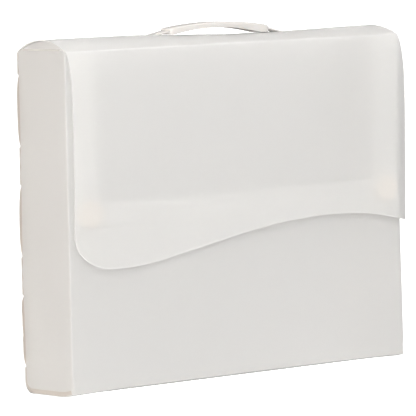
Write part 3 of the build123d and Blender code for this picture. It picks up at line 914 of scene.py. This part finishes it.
def case_point(u, v, depth):
    """Folds the case: the front, bottom and back by rows, the gussets by columns."""
    side = 1 if u > 0 else -1
    beyond = abs(u) - GUSSET_START
    above_bottom = v < PANEL_TOP - CORNER_BOTTOM + 5 * NEAR
    if beyond > GUSSET_BEND - NEAR or (beyond > 0 and above_bottom):
        x, y = section_point((GUSSET_START, -HALF_DEPTH), 0, GUSSET_RUNS, beyond, depth)
        return sprung(side * x, y, PANEL_TOP - v)
    if v < 0:
        return u, -HALF_DEPTH + depth, PANEL_TOP - v
    y, z = section_point(*CASE, v, depth)
    return sprung(u, y, z)


def case_goes_on(u, v):
    """True along the lid's crease and the two dust creases, where the sheet goes on."""
    if v > CASE_TRAVEL - NEAR:
        return abs(u) < LID_HALF
    at_dust = abs(v - PANEL_TOP + GUSSET_TOP) < NEAR
    return at_dust and gusset_u(-DUST_ROOT_HALF) < abs(u) < gusset_u(DUST_ROOT_HALF)


def add_case():
    bends = run_lines([(GUSSET_START, 0)] + GUSSET_RUNS, fine=10, coarse=CASE_STEP)
    # The third material is painted shade on the lugs and along the gussets' foot
    piece = cut_sheet(
        "case_sheet", [case_loop()], sorted({-u for u in bends} | set(bends)),
        run_lines(CASE_RUNS, fine=8, coarse=CASE_STEP), case_point, [frosted, painted_edge_highlight, folded],
        is_open=case_goes_on, zone=in_painted_shade, seams=[foot_seam(), [(-u, v) for u, v in foot_seam()]],
    )
    face_outwards(piece, (0, -1, 0))
    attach(piece, "case")
    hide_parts("front_panel", "bottom_panel", "back_panel", "left_gusset", "right_gusset")


# The lid and its two creases


def lid_sag(u):
    """How far the lid's crest has settled at a place along its length."""
    for (u0, sag0), (u1, sag1) in zip(LID_SAG, LID_SAG[1:]):
        if u <= u1:
            return sag0 + (sag1 - sag0) * eased((u - u0) / (u1 - u0))
    return LID_SAG[-1][1]


def settled(u, z):
    """A height on the lid, less its share of the sag: none at the folds, all at the crest."""
    share = max(0.0, (z - LID_START_Z) / (CREST_Z - LID_START_Z))
    return z - lid_sag(u) * share


def lid_point(u, v, depth):
    y, z = section_point(*LID, v, depth)
    return u, y, settled(u, z)


def slot_loop(side):
    """A slot's outline, laid out along the lid's arch."""
    start = GRIP_LENGTH / 2 + NECK_LENGTH - SLOT_REACH
    half = NECK_WIDTH / 2 + SLOT_CLEARANCE
    loop = rounded_box(start, start + SLOT_LENGTH, -half, half, SLOT_CORNER)
    return filled([(side * x + HANDLE_SHIFT, travel_at(*LID, 0, y)) for x, y in loop], step=3)


def add_lid():
    loop = [(-LID_HALF, 0), (LID_HALF, 0), (LID_HALF, LID_TRAVEL), (-LID_HALF, LID_TRAVEL)]
    # The band along the lid's ends is a painted highlight
    piece = cut_sheet(
        "lid_sheet", [filled(loop, LID_STEP), slot_loop(-1), slot_loop(1)],
        spread(-LID_HALF, LID_HALF, LID_STEP), run_lines(LID_RUNS, fine=1.5, coarse=LID_STEP),
        lid_point, [frosted, painted_edge_highlight], is_open=lambda u, v: v < NEAR or v > LID_TRAVEL - NEAR,
        band=lambda u, v: abs(u) > LID_HALF - EDGE_BAND,
    )
    face_outwards(piece, (0, 0, 1))
    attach(piece, "lid")
    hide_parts("lid_top")


def pressed_depth(v, whole, depth):
    """A depth in a crease's web, which is thinnest in the middle and full at both ends."""
    lost = (SHEET - CREASE_SHEET) * sin(pi * v / whole)
    return lost * OUTER_PRESS + depth * (SHEET - lost) / SHEET


def add_web(name, node, half, step, length, place, material, outwards):
    """A crease's strip of sheet, curved round the fold between the two panels that it joins."""
    corners = [(-half, 0), (half, 0), (half, length), (-half, length)]
    piece = cut_sheet(
        name, [filled(filled(corners, step), CREASE_EDGE_STEP)], spread(-half, half, step),
        spread(0, length, CREASE_STEP), place, [material, painted_edge_highlight],
        is_open=lambda u, v: v < NEAR or v > length - NEAR,
    )
    face_outwards(piece, outwards)
    first = Vector(place(0, 0, SHEET / 2)) * MM
    last = Vector(place(0, length, SHEET / 2)) * MM
    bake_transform(piece)
    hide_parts(node)


def add_crease(name, node, fold, outwards):
    whole = total_length(fold[2])

    def place(u, v, depth):
        y, z = section_point(*fold, v, pressed_depth(v, whole, depth))
        return u, y, z

    add_web(name, node, LID_HALF, LID_STEP, whole, place, frosted, outwards)


# The flap, with its S-shaped lower edge


def flap_edge():
    """The lower edge from left to right, in X and Z: a low lobe, then an S."""
    low = FOLD_HEIGHT - FLAP_LOBE_DROP
    crest = low + FLAP_CREST_RISE
    lobe_x = FLAP_LOBE_WIDTH - LID_HALF
    lobe_centre = Vector((lobe_x, low + FLAP_LOBE_RADIUS))
    crest_centre = Vector((FLAP_CREST_X, crest - FLAP_CREST_RADIUS))
    gap = crest_centre - lobe_centre
    lean = asin((FLAP_LOBE_RADIUS + FLAP_CREST_RADIUS) / gap.length)
    slope = degrees(atan2(gap.y, gap.x) + lean)
    end_reach = LID_HALF - FLAP_CREST_X
    end_radius = arc_radius(end_reach, FLAP_END_FALL)
    end_turn = degrees(asin(end_reach / end_radius))
    corner = arc_points((0, 0), 1, 180, 270, steps=24)
    edge = [(lobe_x + x * FLAP_LOBE_WIDTH, low + FLAP_LOBE_HEIGHT * (1 + y)) for x, y in corner]
    edge += arc_points(lobe_centre, FLAP_LOBE_RADIUS, -90, slope - 90, steps=12)[1:]
    edge += arc_points(crest_centre, FLAP_CREST_RADIUS, 90 + slope, 90, steps=16)
    edge += arc_points((FLAP_CREST_X, crest - end_radius), end_radius, 90, 90 - end_turn, steps=12)[1:]
    return edge


def flap_point(u, v, depth):
    y, z = section_point(*FLAP, v, depth)
    return u + FLAP_DRIFT * eased(min(1.0, v / FLAP_DRIFT_LENGTH)), y, z


def add_flap():
    lower = [(x, travel_at(*FLAP, 1, z)) for x, z in flap_edge()]
    loop = filled(lower + [(LID_HALF, 0), (-LID_HALF, 0)], FLAP_EDGE_STEP)
    # The band along the flap's lower edge is a painted highlight
    piece = cut_sheet(
        "flap_sheet", [loop], spread(-LID_HALF, LID_HALF, LID_STEP),
        run_lines(FLAP_RUNS, fine=0.6, coarse=LID_STEP), flap_point, [frosted, painted_edge_highlight],
        is_open=lambda u, v: v < NEAR, band=lambda u, v: abs(u) < LID_HALF - 2 * EDGE_BAND,
    )
    face_outwards(piece, (0, -1, 0))
    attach(piece, "flap")
    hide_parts("front_flap")


# The dust flaps, which rise from the gussets and lie under the lid


def round_corner(before, corner, after, radius, steps):
    """An arc that rounds one corner of an outline."""
    corner = Vector(corner)
    one = (Vector(before) - corner).normalized()
    other = (Vector(after) - corner).normalized()
    half = one.angle(other) / 2
    centre = corner + (one + other).normalized() * (radius / sin(half))
    start = corner + one * (radius / tan(half)) - centre
    end = corner + other * (radius / tan(half)) - centre
    turns = [-start.angle_signed(end) * k / steps for k in range(steps + 1)]
    return [(
        centre.x + start.x * cos(turn) - start.y * sin(turn),
        centre.y + start.x * sin(turn) + start.y * cos(turn),
    ) for turn in turns]


def lid_height(y):
    """The lid's outer face above a depth in the case, before it settled."""
    radius = BACK_ARC_RADIUS if y > LID_CREST_SHIFT else FRONT_ARC_RADIUS
    away = y - LID_CREST_SHIFT
    return CREST_Z - radius + sqrt(radius**2 - away**2)


def dust_loop():
    """The flap's flat outline: how far in from its fold, and where across the case."""
    tip = [(DUST_LENGTH, DUST_TIP_FRONT), (DUST_LENGTH, DUST_TIP_BACK)]
    wide = [(DUST_RAMP, -DUST_WIDE_HALF), (DUST_RAMP, DUST_WIDE_HALF)]
    loop = [(0, DUST_ROOT_HALF), (0, -DUST_ROOT_HALF), wide[0]]
    loop += round_corner(wide[0], tip[0], tip[1], DUST_CORNER, steps=6)
    loop += round_corner(tip[0], tip[1], wide[1], DUST_CORNER, steps=6)
    return filled(loop + [wide[1]], DUST_STEP)


def add_dust_flap(word, side):
    root = HALF_WIDTH - DUST_CREASE_RADIUS

    def place(inward, y, depth):
        x = side * (root - inward)
        arch = settled(x, lid_height(y) - SHEET - DUST_CLEARANCE)
        share = min(1.0, inward / DUST_RAMP)
        return x, y, DUST_FOLD + (arch - DUST_FOLD) * share - depth

    inward_lines = spread(0, DUST_RAMP, DUST_RAMP_STEP) + spread(DUST_RAMP, DUST_LENGTH, DUST_LONG_STEP)
    piece = cut_sheet(
        f"{word}_dust_sheet", [dust_loop()], inward_lines,
        spread(-DUST_WIDE_HALF, DUST_WIDE_HALF, DUST_STEP), place, [frosted, painted_edge_highlight],
        is_open=lambda inward, y: inward < NEAR,
    )
    face_outwards(piece, (0, 0, 1))
    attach(piece, f"{word}_dust")
    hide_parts(f"{word}_dust_flap")


def add_dust_crease(word, side):
    fold = ((-HALF_WIDTH, GUSSET_TOP), 90, [(DUST_CREASE_RADIUS, -90)])
    whole = total_length(fold[2])

    def place(y, v, depth):
        x, z = section_point(*fold, v, -pressed_depth(v, whole, depth))
        return -side * x, y, z

    # The crease's darker sheet is painted shade
    add_web(
        f"{word}_dust_fold", f"{word}_dust_crease", DUST_ROOT_HALF, DUST_STEP, whole, place,
        crease_shade, (side, 0, 1),
    )


# The handle: grip, necks and end plates. It sits a little to the right, and leans.


def handle_point(x, y, z):
    lean = radians(HANDLE_LEAN)
    return x * cos(lean) + HANDLE_SHIFT, y, z - x * sin(lean)


def leant(x):
    """How much lower the leaning handle is at a distance to the right of its middle."""
    return x * sin(radians(HANDLE_LEAN))


def grip_heights(x):
    """The grip's lower and upper faces at a distance from its middle."""
    top = CREST_Z + GRIP_TOP_RISE - GRIP_TOP_RADIUS + sqrt(GRIP_TOP_RADIUS**2 - x * x)
    low = CREST_Z + GRIP_LOW_RISE - GRIP_LOW_RADIUS
    low += sqrt(GRIP_LOW_RADIUS**2 - (x + GRIP_LOW_SHIFT) ** 2)
    rest = CREST_Z - lid_sag(x + HANDLE_SHIFT) + leant(x) + FOOT_GAP
    return max(low, rest), top


def bar_ring(half, low, high, top_round, low_round):
    """One cross-section of a bar with rounded edges and a crowned top, as (y, z)."""
    top_round = min(top_round, (high - low) / 2)
    low_round = min(low_round, (high - low) / 2)
    ring = []
    for y, z, radius, start in (
        (half, high, top_round, 0), (-half, high, top_round, 90),
        (-half, low, low_round, 180), (half, low, low_round, 270),
    ):
        centre = (y - radius * (1 if y > 0 else -1), z - radius * (1 if z == high else -1))
        ring += arc_points(centre, radius, start, start + 90, steps=5)
    return ring


def bar(name, stations):
    """A bar of the handle through cross-sections, each station being (x, ring)."""
    rings = [[handle_point(x, y, z) for y, z in ring] for x, ring in stations]
    return ringed(name, rings, moulding)


def add_grip():
    half_length = GRIP_LENGTH / 2
    steps = [-half_length + e for e in END_STEPS]
    steps += spread(-half_length, half_length, GRIP_STEP)[2:-2]
    steps += [half_length - e for e in reversed(END_STEPS)]
    stations = []
    for x in steps:
        low, high = grip_heights(x)
        away = half_length - abs(x)
        lost = END_ROUND - sqrt(max(0.0, END_ROUND**2 - max(0.0, END_ROUND - away) ** 2))
        taper = GRIP_TAPER * (x / half_length) ** 2
        half = GRIP_WIDTH / 2 - taper - lost
        stations.append((x, bar_ring(half, low, high - END_DROP * lost, GRIP_ROUND, GRIP_LOW_ROUND)))
    piece = bar("grip", stations)
    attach(piece, "handle")
    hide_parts("handle_grip")


def add_neck(word, side):
    """The thin strap that curves from the grip's end down through the slot."""
    start = GRIP_LENGTH / 2 - NECK_ROOT
    end = GRIP_LENGTH / 2 + NECK_LENGTH + NECK_LAP
    top = grip_heights(side * start)[1] - NECK_DROP
    seat = CREST_Z - PLATE_DEPTH - lid_sag(side * end + HANDLE_SHIFT) + leant(side * end)
    bottom = seat + NECK_TIP + NECK_SEAT
    stations = []
    for share in spread(0, 1, NECK_STEP):
        x = side * (start + (end - start) * share)
        fall = min(1.0, share * (end - start) / NECK_LENGTH)
        fall = NECK_EASE * eased(fall) + (1 - NECK_EASE) * fall
        z = top + (bottom - top) * fall
        thick = NECK_THICKNESS + (NECK_TIP - NECK_THICKNESS) * share
        stations.append((x, bar_ring(NECK_WIDTH / 2, z - thick, z, NECK_ROUND, NECK_ROUND)))
    if side < 0:
        stations.reverse()
    piece = bar(f"{word}_neck", stations)
    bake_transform(piece)
    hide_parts(f"{word}_handle_neck")


def add_plate(word, side):
    start = GRIP_LENGTH / 2 + NECK_LENGTH
    loop = rounded_box(start, start + PLATE_LENGTH, -PLATE_WIDTH / 2, PLATE_WIDTH / 2, PLATE_CORNER)
    top = CREST_Z - PLATE_DEPTH - lid_sag(side * start + HANDLE_SHIFT)

    def place(x, y, height):
        return side * x + HANDLE_SHIFT, y, top - PLATE_THICKNESS + height

    heights = PLATE_EASE + [(ease, PLATE_THICKNESS - height) for ease, height in reversed(PLATE_EASE)]
    piece = prism(f"{word}_plate_piece", loop, heights, place, moulding)
    face_outwards(piece, (0, 0, 1))
    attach(piece, f"{word}_plate")
    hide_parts(f"{word}_handle_plate")


# The coins: a woven base disc, and its hooks or loops


def tube_points(points):
    """The rings of a thin wire along a few points."""
    rings = []
    for k, point in enumerate(points):
        before = points[max(0, k - 1)]
        after = points[min(len(points) - 1, k + 1)]
        along = (after - before).normalized()
        across = along.orthogonal().normalized()
        other = along.cross(across)
        for j in range(PILE_SIDES):
            angle = 2 * pi * j / PILE_SIDES
            rings.append(point + (across * cos(angle) + other * sin(angle)) * PILE_WIRE)
    return rings


def pile_feet(radius):
    """Where the pile's wires stand on a disc, in staggered rows."""
    feet = []
    for row in range(-PILE_ROWS, PILE_ROWS + 1):
        for column in range(-PILE_ROWS, PILE_ROWS + 1):
            x = column * PILE_STEP + (row % 2) * PILE_STEP / 2
            z = row * PILE_STEP * PILE_ROW_SHARE
            if hypot(x, z) <= radius - PILE_MARGIN:
                feet.append((x, z))
    return feet


def wire_points(foot, out, turn, reach, hooked):
    """A wire that stands up from its foot, and curls over into a hook or a whole loop."""
    lean = Vector((cos(turn), 0, sin(turn)))
    curl = reach * (HOOK_CURL if hooked else LOOP_CURL)
    rise = reach - curl - PILE_WIRE
    sweep = HOOK_SWEEP if hooked else LOOP_SWEEP
    points = [foot - out * PILE_ROOT, foot + out * rise * 0.5, foot + out * rise]
    for k in range(1, CURL_STEPS + 1):
        angle = radians(sweep * k / CURL_STEPS)
        points.append(foot + out * (rise + curl * sin(angle)) + lean * curl * (1 - cos(angle)))
    if not hooked:
        points.append(foot + lean * curl * 2 - out * PILE_ROOT)
    return points


def add_coin(kind, word, side, body, seat, toward, depth, material):
    """A disc seated at depth `seat`, and its pile on the side that `toward` gives."""
    hooked = kind == "hook"
    centre = (side * (HALF_WIDTH - COIN_SIDE_INSET), COIN_HEIGHT)
    radius = COIN_DIAMETER / 2

    def place(x, z, height):
        return x, seat(z) + toward * height, z

    ring = arc_points(centre, radius, 0, 360, steps=48)[:-1]
    heights = [(0, -COIN_BOND), (0, COIN_BASE - COIN_EASE_HEIGHT), (COIN_EASE, COIN_BASE)]
    disc = prism(f"{word}_{kind}_disc", ring, heights, place, material)
    out = Vector((0, toward, 0))
    face_outwards(disc, out)
    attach(disc, body)
    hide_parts(f"{word}_{kind}_coin")
    vertices = []
    faces = []
    chance = random.Random(PILE_SEED + hooked)
    for x, z in pile_feet(radius):
        if hooked:
            turn = chance.choice((0.0, pi)) + chance.uniform(-HOOK_SWAY, HOOK_SWAY)
        else:
            turn = chance.uniform(0, 2 * pi)
        foot = Vector(place(centre[0] + x, centre[1] + z, COIN_BASE))
        points = wire_points(foot, out, turn, depth - COIN_BASE, hooked)
        faces += ring_faces(len(vertices), PILE_SIDES, len(points))
        vertices += tube_points(points)
    nap = new_object(f"{word}_{kind}_disc_pile", [v * MM for v in vertices], faces, [material])
    nap.data.shade_smooth()
    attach(nap, body)


def flap_inside(z):
    """How far forward the flap's inner face lies at a height."""
    travel = travel_at(*FLAP, 1, z)
    return section_point(*FLAP, travel, SHEET).x


def add_coins():
    hook_depth = LOOP_FACE - COIN_GAP - flap_inside(COIN_HEIGHT)
    for side, word in SIDES:
        add_coin("loop", word, side, "case", lambda z: -HALF_DEPTH, -1, LOOP_THICKNESS, loops_pile)
        add_coin("hook", word, side, "flap", flap_inside, 1, hook_depth, hooks_pile)


add_case()
add_lid()
add_crease("lid_fold", "lid_crease", LID_CREASE, (0, 1, 1))
add_crease("flap_fold", "flap_crease", FLAP_CREASE, (0, -1, 1))
add_flap()
for side, word in SIDES:
    add_dust_flap(word, side)
    add_dust_crease(word, side)
    add_neck(word, side)
    add_plate(word, side)
add_grip()
add_coins()

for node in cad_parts.values():
    node.data.materials.clear()
    node.data.materials.append(frosted)
